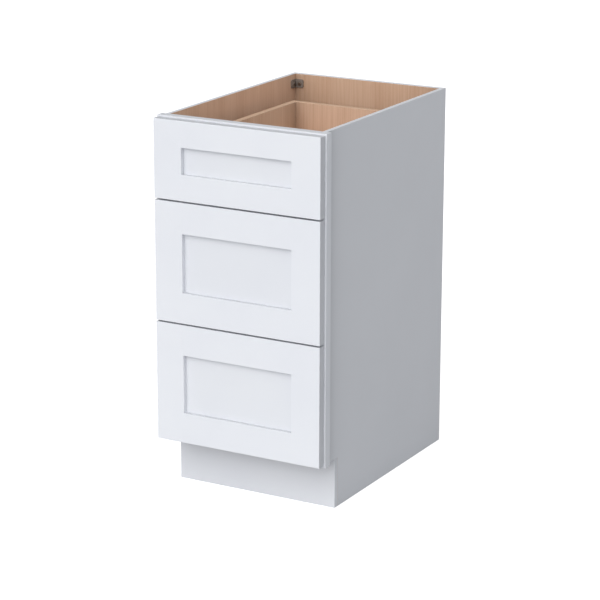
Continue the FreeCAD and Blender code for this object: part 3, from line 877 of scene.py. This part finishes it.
# %% Members of the six slides
cabinet_holes = [(-0.2477, 0.0037, 0.0), (-0.2150, 0.0023, 0.0035), (-0.1300, 0.0023, 0.0),
                 (-0.0500, 0.0023, 0.0035), (0.0300, 0.0032, 0.0), (0.1100, 0.0023, 0.0035),
                 (0.1872, 0.0037, 0.0)]
middle_holes = [(-0.2350, 0.0020, 0.0), (-0.2100, 0.0016, 0.0040), (0.1650, 0.0016, 0.0040),
                (0.1880, 0.0020, 0.0)]
drawer_holes = [(-0.2220, 0.00185, 0.0), (-0.1900, 0.0022, 0.0040), (-0.0254, 0.00185, 0.0),
                (0.0200, 0.0022, 0.0040), (0.1400, 0.0022, 0.0040), (0.1712, 0.00185, 0.0)]
rolled_member("cabinet_slides_rolled", "cabinet_slide_members", cabinet_strip, all_slides,
              cabinet_holes)
for drawer, height in slide_heights.items():
    pair = [(-1, height), (1, height)]
    rolled_member(f"{drawer}_middle_slides_rolled", f"{drawer}_slide_intermediate_members",
                  middle_strip, pair, middle_holes)
    rolled_member(f"{drawer}_drawer_slides_rolled", f"{drawer}_slide_drawer_members",
                  drawer_strip, pair, drawer_holes)
print("slides rolled")

# %% [markdown]
# ## Release levers and bumpers
# A black lever in each drawer member lets the drawer be lifted off its slides. It is a moulded bar
# with a thumb pad at its front end. Behind each drawer front sit four soft bumpers, thin domed
# discs that take the knock when the drawer shuts. Primitives could be scaled and joined, but both
# are closed tubes: rings of points that swell and shrink along a line, with a point at each end.

# %% Closed tubes
def closed_tube(rings):
    """Faces of a tube through rings of points, with a fan from each end ring to an end point. The
    two end points are numbered after the rings."""
    count, around = rings.shape[:2]
    first, last = count * around, count * around + 1
    last_ring = first - around
    ring, step = np.meshgrid(np.arange(count - 1), np.arange(around), indexing="ij")
    here = ring * around + step
    beside = ring * around + (step + 1) % around
    walls = np.stack([here, beside, beside + around, here + around], -1).reshape(-1, 4).tolist()
    turn = np.arange(around)
    follow = (turn + 1) % around
    front = np.stack([np.full(around, first), follow, turn], 1).tolist()
    back = np.stack([np.full(around, last), turn + last_ring, follow + last_ring], 1)
    return walls + front + back.tolist()


def moulded_piece(name, parts, material, body):
    """Object of closed tubes, each of rings and its two end points."""
    points, faces, start = [], [], 0
    for rings, ends in parts:
        own = np.concatenate([rings.reshape(-1, 3), ends])
        faces += [[corner + start for corner in face] for face in closed_tube(rings)]
        points.append(own)
        start += len(own)
    mesh = outward_mesh(name, np.concatenate(points), faces)
    mesh.materials.append(material)
    piece = in_scene(name, mesh)
    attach(piece, body)
    return piece


print("tubes ready, one with 3 rings of 8 points has", len(closed_tube(np.zeros((3, 8, 3)))), "faces")

# %% [markdown]
# The lever is a bar on a squircle section, which is flat on its sides and round at its corners, as
# a moulded bar is. Its front end swells into the thumb pad.

# %% Release levers
lever_start_y, lever_length = -0.165, 0.062
lever_depth = 0.0094
lever_rise = 0.0035
lever_half_height, lever_half_thickness = 0.0018, 0.0012
lever_rings, lever_around = 40, 24
rounded_end, smallest_end = 0.06, 0.02
pad_share, pad_sharpness = 0.22, 40


def lever(side, height):
    """Bar along y: half height 1.8 mm, twice that at the pad in front, by a smooth step that falls
    as 1 / (1 + exp(s)) towards the back. Its section is a squircle, |x| ** 4 + |z| ** 4 = 1, and
    2.4 mm thick. Each end shrinks like a quarter of an ellipse, and the middle line rises and falls
    again by half a sine wave."""
    along = np.linspace(0, 1, lever_rings)
    into_end = np.clip(np.abs(along - 0.5) * 2 - (1 - rounded_end), 0, 1) / rounded_end
    end = np.sqrt(np.clip(1 - into_end ** 2, smallest_end, 1))
    pad = 1 / (1 + np.exp((along - pad_share) * pad_sharpness))
    tall = lever_half_height * (1 + pad) * end
    thick = lever_half_thickness * end
    angle = np.linspace(0, 2 * np.pi, lever_around, endpoint=False)
    round_x = np.sign(np.cos(angle)) * np.sqrt(np.abs(np.cos(angle)))
    round_z = np.sign(np.sin(angle)) * np.sqrt(np.abs(np.sin(angle)))
    x = side * (opening_x - lever_depth + thick[:, None] * round_x)
    y = np.broadcast_to((lever_start_y + lever_length * along)[:, None], x.shape)
    z = height + lever_rise * np.sin(along * np.pi)[:, None] + tall[:, None] * round_z
    rings = np.stack([x, y, z], -1)
    return rings, rings[[0, -1]].mean(1)


print("a lever is", round(np.ptp(lever(1, 0.5)[0][..., 2]) * 1000, 1), "mm high with its rise")

# %% [markdown]
# A bumper is a disc of revolution: its first two rings are the straight wall, and the others close
# in over its dome.

# %% Soft bumpers
bumper_radius, bumper_thickness = 0.0045, 0.0009
bumper_x, bumper_inset = 0.172, 0.014
bumper_rings, bumper_around = 9, 28
dome_shrink, wall_share = 0.22, 0.35


def bumper(x, height, back_y):
    """Disc on the back of a front: the radius shrinks by a fifth, r * (1 - shrink * (1 - cos t)),
    while the depth grows, d * (wall + (1 - wall) * sin t), for t from 0 to a quarter turn."""
    turn = np.linspace(0, np.pi / 2, bumper_rings)
    radius = bumper_radius * np.concatenate([[1.0], 1 - dome_shrink * (1 - np.cos(turn))])
    depth = bumper_thickness * np.concatenate([[0.0], wall_share + (1 - wall_share) * np.sin(turn)])
    angle = np.linspace(0, 2 * np.pi, bumper_around, endpoint=False)
    rings = np.stack([x + radius[:, None] * np.cos(angle),
                      back_y + np.repeat(depth[:, None], bumper_around, axis=1),
                      height + radius[:, None] * np.sin(angle)], -1)
    return rings, rings[[0, -1]].mean(1)


for drawer, height in slide_heights.items():
    moulded_piece(f"{drawer}_release_levers", [lever(side, height) for side in (-1, 1)],
                  lever_plastic, f"{drawer}_drawer")
    front_low, front_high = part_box(f"{drawer}_front_right_stile")
    heights = (front_low.z + bumper_inset, front_high.z - bumper_inset)
    moulded_piece(f"{drawer}_bumpers", [bumper(side * bumper_x, place, front_high.y)
                                        for side in (-1, 1) for place in heights],
                  bumper_plastic, f"{drawer}_drawer")
print("levers and bumpers made")
